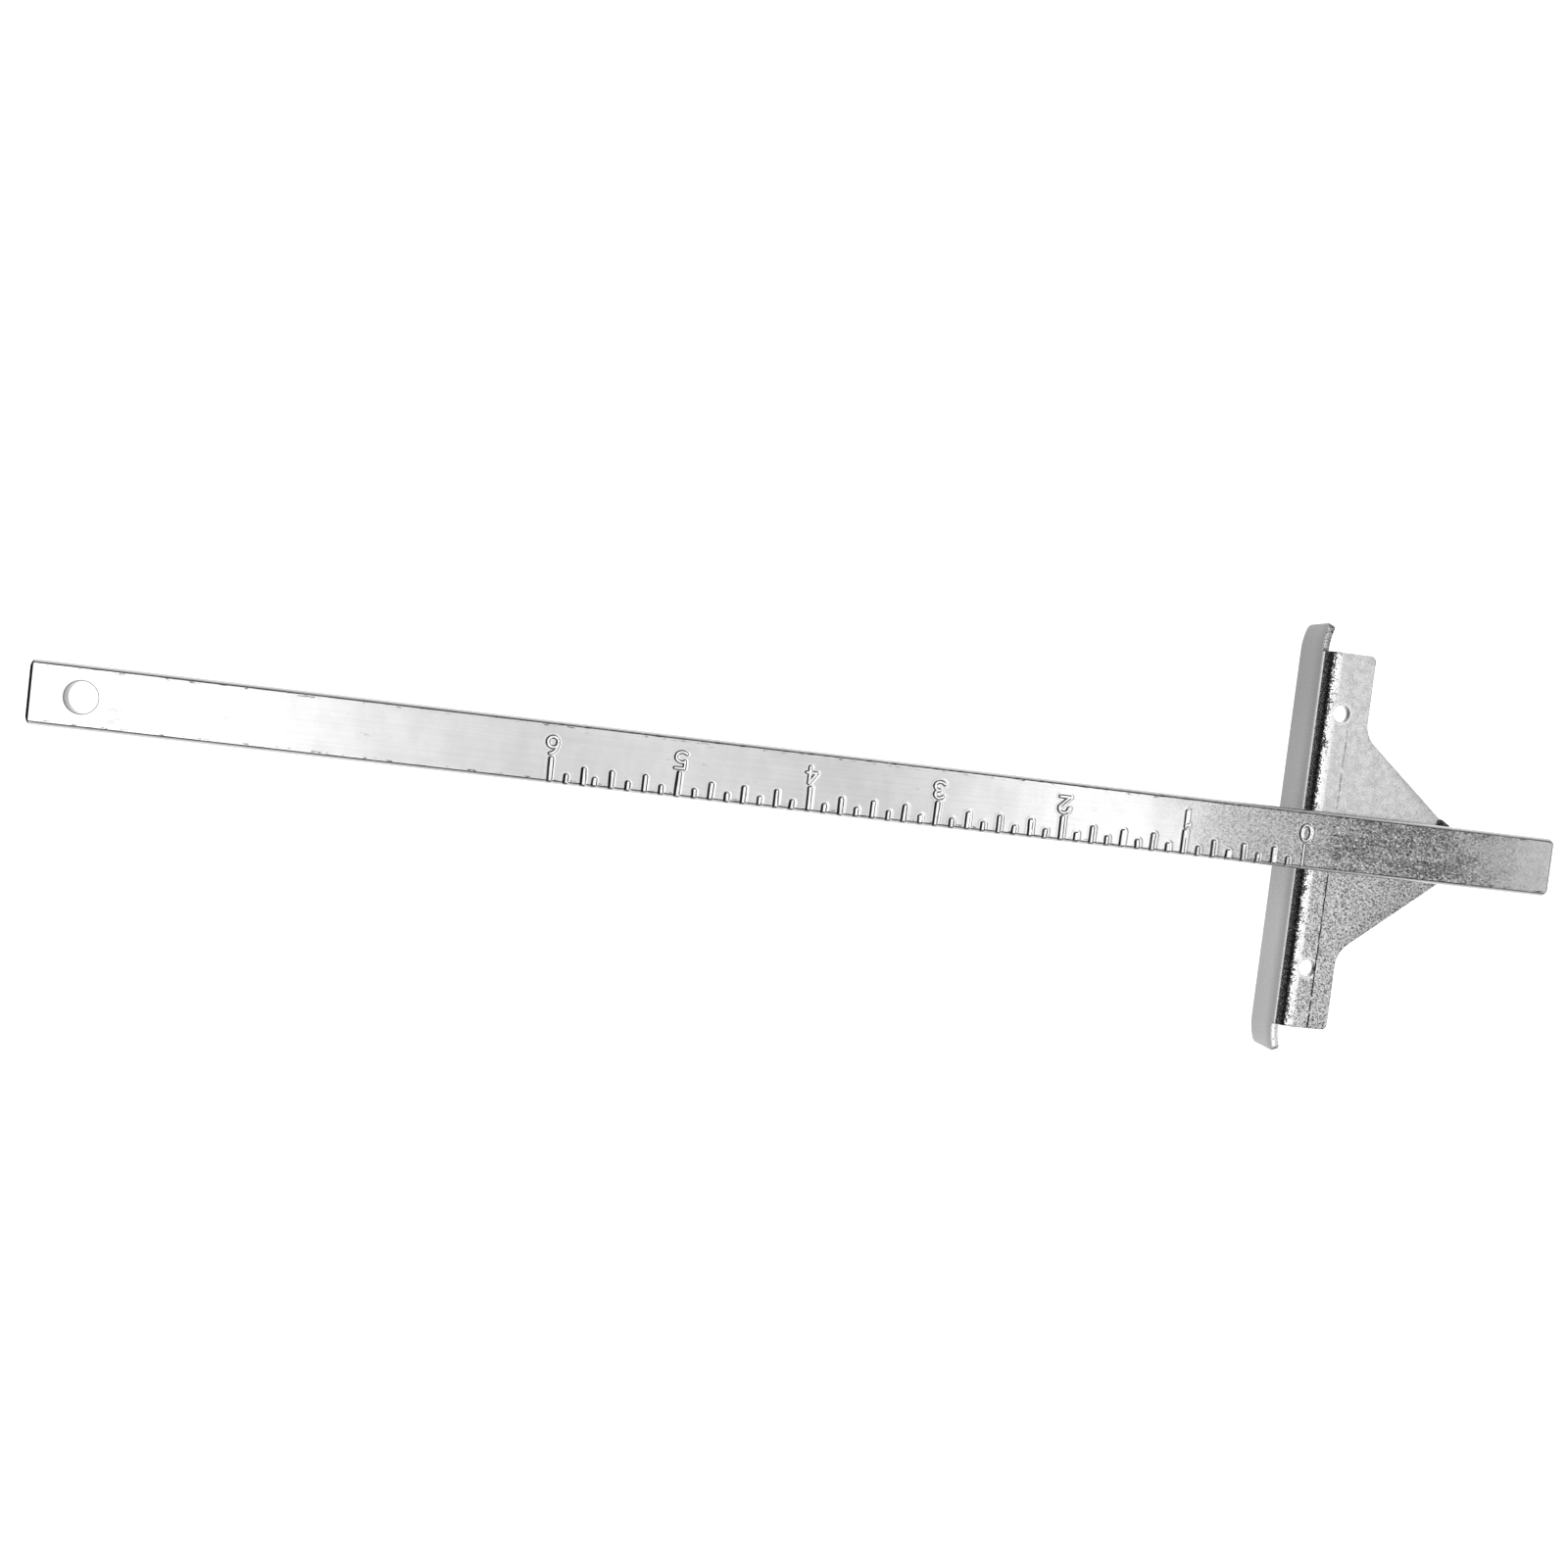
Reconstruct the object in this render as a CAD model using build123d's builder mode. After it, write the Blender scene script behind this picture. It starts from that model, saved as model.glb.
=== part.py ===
"""Edge guide shaped like a T square: a graduated flat bar welded across a bent sheet head.

Frame: the origin is the middle of the head's flat working face, which stands square to the bar.
+X runs along the bar from the head towards the six inch mark, +Y towards the graduated edge,
and +Z up, out of the graduated face. All lengths are in millimetres.
"""
from build123d import *
from math import atan2, degrees
import os

INCH = 25.4

# Sheet head: a triangular web with one long flange bent down from its front edge
sheet = 1.5
bend_inner_radius = 1.8
bend_outer_radius = bend_inner_radius + sheet
flange_drop = 13.2
web_half_length = 38.6
web_depth = 10.3
web_corner_radius = 1.2
gusset_tip = 37.6
gusset_root = 11.7
gusset_half_width = 21.2
gusset_tip_flat = 3.0
gusset_fillet = 5.5
flange_corner_radius = 1.2
flange_corner_reach = 6.0
tip_curl_radius = 15.0
tip_curl_start = web_half_length + 0.4
tip_curl_angle = 22.0
facing_hole_diameter = 3.4
facing_hole_depth = 4.3
facing_hole_spacing = 52.4

# Slope of the gusset's long edges: depth gained for each unit of half width lost
gusset_slope = (gusset_tip - gusset_root) / gusset_half_width
gusset_shoulder = gusset_half_width + (gusset_root - web_depth) / gusset_slope
gusset_end = gusset_tip - gusset_tip_flat * gusset_slope

# The flat band of the flange, from the bend down to its lower edge, is centred on Z = 0
face_height = flange_drop - bend_outer_radius
web_top = face_height / 2 + bend_outer_radius
flange_bottom = -face_height / 2

# Flat bar
bar_length = 300.0
bar_width = 12.0
bar_thickness = 3.0
bar_overhang = 52.8
bar_edge_radius = 0.6
bar_corner_radius = 1.0
bar_top = web_top + bar_thickness
hang_hole_diameter = 6.0
hang_hole_from_end = 9.4

# Stamped graduations: every eighth of an inch from zero to six. Zero stands just ahead of the
# working face, clear of the bend
zero_mark_offset = 1.2
divisions_per_inch = 8
last_inch = 6
mark_width = 0.9
mark_depth = 0.25
inch_mark_length = 5.3
quarter_mark_length = 3.9
eighth_mark_length = 2.3
restruck_from = 46
restrike_shift = -1.0

# Stamped numerals, drawn as strokes
numeral_height = 3.2
numeral_width = 2.0
numeral_stroke = 0.6
numeral_depth = 0.2
numeral_gap = 0.45
numeral_top = bar_width / 2 - inch_mark_length - numeral_gap
one_flag_reach = 0.7
one_flag_drop = 0.7
three_waist_rise = 0.16
three_waist_inset = 0.2
three_tip_inset = 0.3
four_stem_offset = 0.4
four_bar_rise = 1.12
five_bow_rise = 0.1
five_bow_centre_rise = 0.9
five_tail_rise = 0.2
six_tail_inset = 0.3
six_side_inset = 0.1
six_side_rise = 0.7

# Welds
nugget_diameter = 4.5
nugget_height = 1.0
nugget_depths = (10.0, 22.0)
tack_radius = 2.2
tack_height = 1.5

# Slack for picking edges by where they stand
position_slack = 0.01

os.makedirs("parts", exist_ok=True)


def mark_length(division):
    """Length of the mark at this many eighths from zero."""
    if division % divisions_per_inch == 0:
        return inch_mark_length
    if division % 2 == 0:
        return quarter_mark_length
    return eighth_mark_length


def mark_position(division):
    """Place of a mark along the bar; the last three were struck a little short."""
    shift = restrike_shift if division >= restruck_from else 0
    return zero_mark_offset + division * INCH / divisions_per_inch + shift


def stroke(start, end):
    """One straight stroke of a numeral, with round ends."""
    line = Line(start, end)
    with Locations(line @ 0.5):
        direction = line % 0
        SlotCenterToCenter(line.length, numeral_stroke, rotation=degrees(atan2(direction.Y, direction.X)))


def bow(start, middle, end):
    """One curved stroke of a numeral, with round ends."""
    SlotArc(ThreePointArc(start, middle, end), numeral_stroke)


def numeral(value, x, top):
    """Draw one numeral, centred on x and hanging from top, in the active sketch."""
    half = numeral_width / 2
    left, right = x - half, x + half
    bottom = top - numeral_height
    middle = top - numeral_height / 2
    if value == 0:
        with Locations((x, middle)):
            Ellipse(half + numeral_stroke / 2, (numeral_height + numeral_stroke) / 2)
            Ellipse(
                half - numeral_stroke / 2,
                (numeral_height - numeral_stroke) / 2,
                mode=Mode.SUBTRACT,
            )
    elif value == 1:
        stroke((x, bottom), (x, top))
        stroke((x, top), (x - one_flag_reach, top - one_flag_drop))
    elif value == 2:
        bow((left, top - half), (x, top), (right, top - half))
        stroke((right, top - half), (left, bottom))
        stroke((left, bottom), (right, bottom))
    elif value == 3:
        waist = (x - three_waist_inset, middle + three_waist_rise)
        bow((left, top - three_tip_inset), (right, (top + waist[1]) / 2), waist)
        bow(waist, (right, (bottom + waist[1]) / 2), (left, bottom + three_tip_inset))
    elif value == 4:
        stem = x + four_stem_offset
        bar_level = bottom + four_bar_rise
        stroke((stem, bottom), (stem, top))
        stroke((stem, top), (left, bar_level))
        stroke((left, bar_level), (right, bar_level))
    elif value == 5:
        stroke((right, top), (left, top))
        bow_start = (left, middle + five_bow_rise)
        stroke((left, top), bow_start)
        bow(bow_start, (right, bottom + five_bow_centre_rise), (left, bottom + five_tail_rise))
    elif value == 6:
        side_end = (left + six_side_inset, bottom + six_side_rise)
        bow((right - six_tail_inset, top), (left, middle), side_end)
        with Locations((x, bottom + half)):
            Circle(half + numeral_stroke / 2)
            Circle(half - numeral_stroke / 2, mode=Mode.SUBTRACT)


# Flat bar with rounded edges, a hanging hole, graduations and numerals
with BuildPart() as graduated_bar:
    with BuildSketch(Plane.XY.offset(web_top)):
        with Locations((bar_length / 2 - bar_overhang, 0)):
            RectangleRounded(bar_length, bar_width, bar_corner_radius)
    extrude(amount=bar_thickness)
    long_edges = graduated_bar.edges().filter_by(Axis.X)
    fillet(long_edges, radius=bar_edge_radius)
    hole_x = bar_length - bar_overhang - hang_hole_from_end
    with Locations((hole_x, 0, bar_top)):
        Hole(radius=hang_hole_diameter / 2, depth=bar_thickness)
    with BuildSketch(Plane.XY.offset(bar_top)):
        # the slots run past the bar's edge, so that only their inner ends are rounded
        overrun = mark_width
        for division in range(last_inch * divisions_per_inch + 1):
            length = mark_length(division)
            with Locations((mark_position(division), bar_width / 2 - length / 2 + overrun / 2)):
                SlotOverall(length + overrun, mark_width, rotation=90)
    extrude(amount=-mark_depth, mode=Mode.SUBTRACT)
    with BuildSketch(Plane.XY.offset(bar_top)):
        for value in range(last_inch + 1):
            numeral(value, mark_position(value * divisions_per_inch), numeral_top)
    extrude(amount=-numeral_depth, mode=Mode.SUBTRACT)
    # recesses on the underside that hold the upper halves of the weld nuggets
    with BuildSketch(Plane.XY.offset(web_top)):
        for depth in nugget_depths:
            with Locations((-depth, 0)):
                Circle(nugget_diameter / 2)
    extrude(amount=nugget_height / 2, mode=Mode.SUBTRACT)

# Head: one sheet, bent along Y. The flange is longer than the web and curls back at its tips
with BuildPart() as fence_head:
    # plan outline of the web, behind the bend
    with BuildSketch(Plane.XY.offset(web_top - sheet)):
        with BuildLine():
            half = Polyline(
                (-bend_outer_radius, 0),
                (-bend_outer_radius, web_half_length),
                (-web_depth, web_half_length),
                (-web_depth, gusset_shoulder),
                (-gusset_end, gusset_tip_flat),
                (-gusset_end, 0),
            )
            mirror(half, about=Plane.XZ)
        make_face()
    extrude(amount=sheet)
    front_corners = fence_head.edges().filter_by(Axis.Z).filter_by_position(
        Axis.X, -web_depth - position_slack, -web_depth + position_slack
    )
    by_y = front_corners.group_by(Axis.Y)
    fillet(by_y[0] + by_y[-1], web_corner_radius)
    fillet(by_y[1] + by_y[-2], gusset_fillet)
    # quarter bend
    with BuildSketch(Plane.XZ.offset(-web_half_length)):
        with BuildLine():
            centre = (-bend_outer_radius, web_top - bend_outer_radius)
            outer = CenterArc(centre, bend_outer_radius, 0, 90)
            inner = CenterArc(centre, bend_inner_radius, 0, 90)
            Line(outer @ 0, inner @ 0)
            Line(outer @ 1, inner @ 1)
        make_face()
    extrude(amount=2 * web_half_length)
    # flange, drawn in plan and extruded down from the bend
    with BuildSketch(Plane.XY.offset(flange_bottom)) as flange_plan:
        with BuildLine():
            straight = Line((0, 0), (0, tip_curl_start))
            curl = JernArc(straight @ 1, (0, 1), tip_curl_radius, tip_curl_angle)
            tip = Line(curl @ 1, (curl @ 1) + (curl % 1).rotate(Axis.Z, 90) * sheet)
            back = JernArc(tip @ 1, -(curl % 1), tip_curl_radius - sheet, -tip_curl_angle)
            Line(back @ 1, (-sheet, 0))
            Line((-sheet, 0), (0, 0))
        make_face()
        mirror(about=Plane.XZ)
    extrude(amount=face_height)
    flange_end = fence_head.part.bounding_box().max.Y
    # the flange's corners are rounded, seen square on to its face
    with BuildSketch(Plane.YZ.offset(-flange_corner_reach)):
        for side in (-1, 1):
            for level in (-1, 1):
                arc_centre_y = side * (flange_end - flange_corner_radius)
                arc_centre_z = level * (face_height / 2 - flange_corner_radius)
                with Locations((arc_centre_y, arc_centre_z)):
                    with Locations((side * flange_corner_radius / 2, level * flange_corner_radius / 2)):
                        Rectangle(flange_corner_radius, flange_corner_radius)
                    Circle(flange_corner_radius, mode=Mode.SUBTRACT)
    extrude(amount=2 * flange_corner_reach, mode=Mode.SUBTRACT)
    # holes for screwing a wooden facing to the head. They run into the bend, so they are cut
    # deeper than the sheet
    with Locations(
        (-facing_hole_depth, -facing_hole_spacing / 2, web_top),
        (-facing_hole_depth, facing_hole_spacing / 2, web_top),
    ):
        Hole(radius=facing_hole_diameter / 2, depth=2 * sheet)
    # recesses that hold the lower halves of the weld nuggets
    with BuildSketch(Plane.XY.offset(web_top)):
        for depth in nugget_depths:
            with Locations((-depth, 0)):
                Circle(nugget_diameter / 2)
    extrude(amount=-nugget_height / 2, mode=Mode.SUBTRACT)

# Resistance weld nuggets, hidden between the bar and the web
with BuildPart() as weld_nuggets:
    with BuildSketch(Plane.XY.offset(web_top - nugget_height / 2)):
        for depth in nugget_depths:
            with Locations((-depth, 0)):
                Circle(nugget_diameter / 2)
    extrude(amount=nugget_height)

# Tack weld in the one corner where the gusset's edge runs under the bar, on the side away from
# the graduated edge
with BuildPart() as gusset_tack_weld:
    corner_depth = gusset_tip - bar_width / 2 * gusset_slope
    corner = Plane((-corner_depth, -bar_width / 2, web_top), x_dir=(1, 0, 0), z_dir=(0, -1, 0))
    with BuildSketch(corner):
        with BuildLine():
            dome = EllipticalCenterArc((0, 0), tack_radius, tack_height, start_angle=0, arc_size=90)
            Polyline(dome @ 0, (0, 0), dome @ 1)
        make_face()
    revolve(axis=Axis(corner.origin, (0, 0, 1)))
    # the bead ends flush with the gusset's edge
    with BuildSketch(Plane.XY.offset(web_top)):
        with BuildLine():
            root_half_width = gusset_tip / gusset_slope
            Polyline((-gusset_tip, 0), (0, root_half_width), (0, -root_half_width), close=True)
        make_face()
    extrude(amount=bar_thickness, mode=Mode.INTERSECT)
    add(graduated_bar.part, mode=Mode.SUBTRACT)

graduated_bar.part.label = "graduated_bar"
export_step(graduated_bar.part, "parts/graduated_bar.step")
fence_head.part.label = "fence_head"
export_step(fence_head.part, "parts/fence_head.step")
weld_nuggets.part.label = "weld_nuggets"
export_step(weld_nuggets.part, "parts/weld_nuggets.step")
gusset_tack_weld.part.label = "gusset_tack_weld"
export_step(gusset_tack_weld.part, "parts/gusset_tack_weld.step")
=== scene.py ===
import math

import bmesh
import bpy
import numpy as np
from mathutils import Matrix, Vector, noise


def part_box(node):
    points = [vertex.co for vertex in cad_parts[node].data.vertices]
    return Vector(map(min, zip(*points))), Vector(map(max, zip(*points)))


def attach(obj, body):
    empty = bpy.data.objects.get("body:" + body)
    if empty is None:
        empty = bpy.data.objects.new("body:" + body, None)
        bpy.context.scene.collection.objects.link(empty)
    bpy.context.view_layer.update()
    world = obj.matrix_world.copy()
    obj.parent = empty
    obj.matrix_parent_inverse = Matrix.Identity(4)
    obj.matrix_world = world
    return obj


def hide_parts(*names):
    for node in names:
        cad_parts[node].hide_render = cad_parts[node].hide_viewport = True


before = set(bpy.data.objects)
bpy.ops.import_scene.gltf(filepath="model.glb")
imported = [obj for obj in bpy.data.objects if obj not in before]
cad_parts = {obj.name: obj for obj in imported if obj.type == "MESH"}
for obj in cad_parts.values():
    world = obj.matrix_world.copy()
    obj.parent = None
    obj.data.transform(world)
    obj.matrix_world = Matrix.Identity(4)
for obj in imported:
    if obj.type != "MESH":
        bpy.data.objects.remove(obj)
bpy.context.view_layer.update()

MM = 0.001
INCH = 25.4
merge_distance = 0.002
cut_tolerance = 0.0005
bar_low, bar_high = (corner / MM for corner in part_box("graduated_bar"))
head_low, head_high = (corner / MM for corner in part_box("fence_head"))

# Bar
bar_half_width = bar_high.y
bar_top = bar_high.z
bar_edge_radius = 0.85
edge_squareness = 1.35
bar_corner_radius = 1.0
bar_end_rounding = 0.5
bar_flat_half = bar_half_width - bar_edge_radius
face_sink = 0.07
hang_hole_radius = 3.0
hang_hole_x = bar_high.x - 9.4
hang_hole_rim = 0.12
smudge_place = (231.5, 2.8)
dent_depth = 0.03

# Mesh steps along and across the bar
top_steps = 72
bottom_steps = 24
edge_steps = 8
stamp_step = 0.16
plain_step = 1.5
patch_shares = (0, 0.15, 0.35, 0.6, 0.8, 1)

# Graduations and numerals
zero_mark = 1.2
divisions_per_inch = 8
last_inch = 6
restruck_from = 46
restrike_shift = -1.0
mark_lengths = {"inch": 5.3, "quarter": 3.9, "eighth": 2.3}
mark_groove = 0.46
mark_depth = 0.26
zero_groove = 0.26
numeral_top = 0.25
numeral_height = 3.2
numeral_width = 2.0
numeral_groove = 0.34
numeral_depth = 0.2
stamp_margin = 2.6
past_edge = 1
mark_lean = 0.12
mark_bite_spread = 0.3

# Groove's section across, as shares of the stroke's half width
broad_wall = 0.05
steep_wall = 0.85
wall_reach = 1.1
lip_place = 1.6
lip_spread = 0.4

# Groove's lips and floor
near_lip_height = 0.9 * face_sink
far_lip_share = 0.25
floor_share = 0.97
lip_fade = 0.02

# Head sheet
sheet = 1.5
bend_radius = 3.3
bend_arc = bend_radius * math.pi / 2
web_top = head_high.z
face_height = web_top - bend_radius - head_low.z
web_half_length = 38.6
web_depth = 10.3
web_corner_radius = 1.2
web_inner_radius = 0.25
gusset_end = -head_low.x
gusset_slope = 25.9 / 21.2
gusset_tip_flat = 3.0
gusset_tip = gusset_end + gusset_tip_flat * gusset_slope
gusset_shoulder = gusset_tip_flat + (gusset_end - web_depth) / gusset_slope
gusset_fillet = 5.5
gusset_tip_radius = 0.5
flange_corner_radius = 1.2
curl_radius = 15.0
curl_start = 39.0
curl_angle = math.radians(22)
curl_relief = 0.05
facing_hole_radius = 1.7
facing_hole_depth = 4.3
facing_hole_half_spacing = 26.2
sheet_edge_radius = 0.16
score_depth_from_face = 6.1
score_width = 0.2
score_cut = 0.16
score_wander = 0.05
strong_score_start = 6.0
faint_score_start = -25.0
faint_score_end = -6.0
faint_score_share = 0.35

# Mesh steps of the head
bend_steps = 18
curl_steps = 12
cross_cut_start = -36
cross_cut_end = 38
hole_steps = 48

# Tack weld
bead_reach = 2.3
bead_height = 1.5
bead_lump = 0.25
bead_lump_scale = 2.3
bead_grain = 0.1
bead_grain_scale = 7

# Limits of the finishes and of the painted light and shade in millimetres, each as (where it starts, where
# it is full)
coarse_towards_head = (58.0, 12.0)
dull_over_head = (-48.0, -30.0)
head_grain_start = (3.0, -9.0)
head_grain_end = (-42.0, -26.0)
fleck_inner = (4.7, 5.1)
fleck_outer = (5.4, 5.2)
# painted shade on the outer rounding of the bar's long edges
painted_edge_shade = (5.35, 5.55)
raw_end = (bar_high.x - 0.75, bar_high.x - 0.6)
# painted shade inside the hanging hole and on its rim
hole_wall_radius = (3.1, 3.04)
hole_wall_top = (bar_top - 0.14, bar_top - 0.2)
hole_rim_shade_inner = (2.96, 3.02)
hole_rim_shade_outer = (3.24, 3.14)
smudge_reach = (3.6, 1.0)
darker_side = (-12.0, 12.0)
web_side_of_bend = (-1.4, -2.8)
# painted shade on the flange face
satin_shade_slope = (-38.0, 20.0)
satin_shade_top = (6.0, 4.9)
shade_towards_bend = (1.0, 5.2)
shade_end = (6.2, 5.8)
# painted dark reflection band on the bend
dark_band_low = (5.6, 6.2)
dark_band_high = (8.0, 7.8)
dark_band_inboard = (-3.1, -2.8)
# painted glint line on the bend
glint_line_low = (5.55, 5.75)
glint_line_high = (6.05, 5.85)
# painted white highlight band on the bend
white_band_low = (7.8, 7.95)
white_band_inboard = (-3.15, -2.7)
web_end_inboard = (web_half_length - 0.25, web_half_length - 0.6)
web_end_outboard = (web_half_length + 0.1, web_half_length + 0.3)
sheared_height = (4.75, 4.85)
bare_side = (-1.0, 1.0)
# painted highlight round the facing holes and painted shade in them
painted_hole_highlight = (2.5, 2.2)
punched_shade = (1.98, 1.86)
punched_shade_side = (-4.8, -5.3)
score_line = (0.2, 0.1)


def smooth(low, high, value):
    """Smooth step from 0 at low to 1 at high."""
    t = np.clip((value - low) / (high - low), 0, 1)
    return t * t * (3 - 2 * t)


def finish_mesh(name, mesh, material, sharp_angle):
    """Make a piece on the root body from a mesh in millimetres, shaded smooth up to sharp_angle."""
    work = bmesh.new()
    work.from_mesh(mesh)
    bmesh.ops.remove_doubles(work, verts=work.verts, dist=merge_distance)
    loose = [v for v in work.verts if not v.link_faces]
    bmesh.ops.delete(work, geom=loose, context="VERTS")
    bmesh.ops.recalc_face_normals(work, faces=work.faces)
    for face in work.faces:
        face.smooth = True
    for edge in work.edges:
        edge.smooth = edge.calc_face_angle(0) < math.radians(sharp_angle)
    bmesh.ops.scale(work, vec=(MM, MM, MM), verts=work.verts)
    work.to_mesh(mesh)
    work.free()
    piece = bpy.data.objects.new(name, mesh)
    bpy.context.scene.collection.objects.link(piece)
    mesh.materials.clear()
    mesh.materials.append(material)
    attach(piece, "root")
    return piece


# ---------------------------------------------------------------- stamping on the bar


def mark_place(division):
    """Place of a mark along the bar."""
    shift = restrike_shift if division >= restruck_from else 0
    return zero_mark + division * INCH / divisions_per_inch + shift


def mark_length(division):
    if division % divisions_per_inch == 0:
        return mark_lengths["inch"]
    return mark_lengths["quarter" if division % 2 == 0 else "eighth"]


def arc(centre, radii, start, end, steps=14):
    """Points of an elliptical arc, with angles in degrees."""
    angles = np.radians(np.linspace(start, end, steps))
    return np.column_stack((centre[0] + radii[0] * np.cos(angles), centre[1] + radii[1] * np.sin(angles)))


def numeral_strokes(value):
    """Centre lines of a numeral's strokes, in a box numeral_width wide that hangs from the origin."""
    half, tall = numeral_width / 2, numeral_height
    if value == 0:
        return [arc((0, -tall / 2), (half, tall / 2), 0, 360, 28)]
    if value == 1:
        return [[(0, -tall), (0, 0), (-0.5 * half, -0.16 * tall)]]
    if value == 2:
        top_bow = arc((0, -half), (half, half), 180, -10)
        return [[*top_bow, (-half, -tall), (half, -tall)]]
    if value == 3:
        upper = arc((-0.1 * half, -0.25 * tall), (0.9 * half, 0.24 * tall), 150, -90)
        lower = arc((-0.1 * half, -0.75 * tall), (1.05 * half, 0.26 * tall), 90, -150)
        return [upper, lower]
    if value == 4:
        return [[(0.4 * half, -tall), (0.4 * half, 0), (-half, -0.65 * tall), (half, -0.65 * tall)]]
    if value == 5:
        bowl = arc((-0.15 * half, -0.68 * tall), (1.15 * half, 0.31 * tall), 125, -140)
        return [[(half, 0), (-0.8 * half, 0), (-0.8 * half, -0.45 * tall)], bowl]
    neck = arc((0.7 * half, -0.62 * tall), (1.65 * half, 0.64 * tall), 100, 185)
    return [neck, arc((0, -tall + half), (half, half), 0, 360, 24)]


def distance_to_line(x, y, points):
    """Each grid point's distance to a line through the points, and how far it lies to +X of it, -1 to 1."""
    nearest = np.full(x.shape, 1e3)
    side = np.zeros(x.shape)
    for (ax, ay), (bx, by) in zip(points[:-1], points[1:]):
        dx, dy = bx - ax, by - ay
        along = np.clip(((x - ax) * dx + (y - ay) * dy) / (dx * dx + dy * dy + 1e-9), 0, 1)
        offset = x - ax - along * dx
        distance = np.hypot(offset, y - ay - along * dy)
        side = np.where(distance < nearest, offset / (distance + 1e-6), side)
        nearest = np.minimum(nearest, distance)
    return nearest, side


def stamp(relief, x, y, points, groove, depth):
    """Press one stroke into the relief: a groove with the metal it pushed up at its lips.

    The punch leaned, so the groove's wall on the far side from the head is broad and the other is steep.
    """
    xs = [p[0] for p in points]
    near = (x > min(xs) - 2) & (x < max(xs) + 2)
    distance, far_side = distance_to_line(x[near], y[near], points)
    floor_edge = groove * np.interp(far_side, (-1, 1), (steep_wall, broad_wall))
    wall_share = smooth(floor_edge, wall_reach * groove, distance)
    cut = depth * (1 - wall_share)
    lip = near_lip_height * np.exp(-(((distance - lip_place * groove) / (lip_spread * groove)) ** 2))
    lip = lip * np.interp(far_side, (-1, 1), (1, far_lip_share))
    # painted shade share: darkens the broad wall on the far side from the head
    on_far_side = (1 + far_side) / 2
    past_middle = smooth(0.05 * groove, 0.35 * groove, distance)
    past_wall = smooth(wall_reach * groove, 1.4 * groove, distance)
    wall = past_middle * (1 - past_wall) * on_far_side**2 * depth / mark_depth
    relief["cut"][near] = np.maximum(relief["cut"][near], cut)
    relief["lip"][near] = np.maximum(relief["lip"][near], lip)
    on_floor = cut > floor_share * depth
    relief["wall"][near] = np.where(on_floor, 0, np.maximum(relief["wall"][near], wall))


def stamped_relief(x, y):
    """Height over the plain face at each grid point, with its shares of brightened metal, partly burnished
    and partly painted highlight, and of painted wall shade.
    """
    relief = {part: np.zeros(x.shape) for part in ("cut", "lip", "wall")}
    for division in range(last_inch * divisions_per_inch + 1):
        place = mark_place(division)
        groove = zero_groove if division == 0 else mark_groove
        inner = bar_half_width - mark_length(division) + groove
        # marks were struck by hand, so each leans and bites a little differently
        lean = mark_lean * math.sin(2.7 * division)
        bite = mark_depth * (1 + mark_bite_spread * math.sin(1.9 * division + 1))
        outer = bar_half_width + past_edge
        stamp(relief, x, y, [(place, inner), (place + lean, outer)], groove, bite)
    for value in range(last_inch + 1):
        place = mark_place(value * divisions_per_inch)
        for line in numeral_strokes(value):
            points = [(place + px, numeral_top + py) for px, py in line]
            stamp(relief, x, y, points, numeral_groove, numeral_depth)
    # brightening of lips and floors: burnished floors, and painted highlight on the lips
    lip = relief["lip"] * np.exp(-relief["cut"] / lip_fade)
    burnish_and_highlight = np.clip(lip / face_sink, 0, 1) + np.clip(relief["cut"] / mark_depth, 0, 1)
    return lip - relief["cut"], burnish_and_highlight, np.clip(relief["wall"], 0, 1)


# ---------------------------------------------------------------- bar


def bar_section():
    """Closed section of the bar as (y, z, share of the relief that a point takes)."""
    bottom = bar_low.z
    centre_top = bar_top - face_sink - bar_edge_radius
    centre_bottom = bottom + bar_edge_radius
    flat = np.linspace(-bar_flat_half, bar_flat_half, top_steps + 1)
    points = [(y, bar_top - face_sink, 1.0) for y in flat]
    angles = np.linspace(90, 0, edge_steps + 1)[1:]

    def edge_point(side, level, angle):
        a = math.radians(angle)
        y = side * (bar_flat_half + bar_edge_radius * math.cos(a) ** edge_squareness)
        if level > 0:
            return y, centre_top + bar_edge_radius * math.sin(a) ** edge_squareness, math.sin(a) ** 2
        return y, centre_bottom - bar_edge_radius * math.sin(a) ** edge_squareness, 0.0

    points += [edge_point(1, 1, angle) for angle in angles]
    points += [edge_point(1, -1, angle) for angle in angles[::-1]]
    points += [(y, bottom, 0.0) for y in np.linspace(bar_flat_half, -bar_flat_half, bottom_steps + 1)]
    points += [edge_point(-1, -1, angle) for angle in angles]
    points += [edge_point(-1, 1, angle) for angle in angles[::-1]]
    return np.array(points)


def bar_stations():
    """Places along the bar where a section stands: close together where it is stamped and at its ends."""
    end_steps = bar_corner_radius * (1 - np.cos(np.linspace(0, math.pi / 2, 9)))
    stamp_start = zero_mark - stamp_margin
    stamp_end = mark_place(last_inch * divisions_per_inch) + stamp_margin
    hole_start, hole_end = hang_hole_x - bar_flat_half, hang_hole_x + bar_flat_half

    def run(start, end, step):
        return np.linspace(start, end, max(2, round((end - start) / step) + 1))

    parts = [
        bar_low.x + end_steps,
        run(bar_low.x + bar_corner_radius, stamp_start, plain_step),
        run(stamp_start, stamp_end, stamp_step),
        run(stamp_end, hole_start, plain_step),
        np.linspace(hole_start, hole_end, bottom_steps + 1),
        run(hole_end, bar_high.x - bar_corner_radius, plain_step),
        bar_high.x - end_steps,
    ]
    return np.unique(np.concatenate(parts).round(6))


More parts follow.
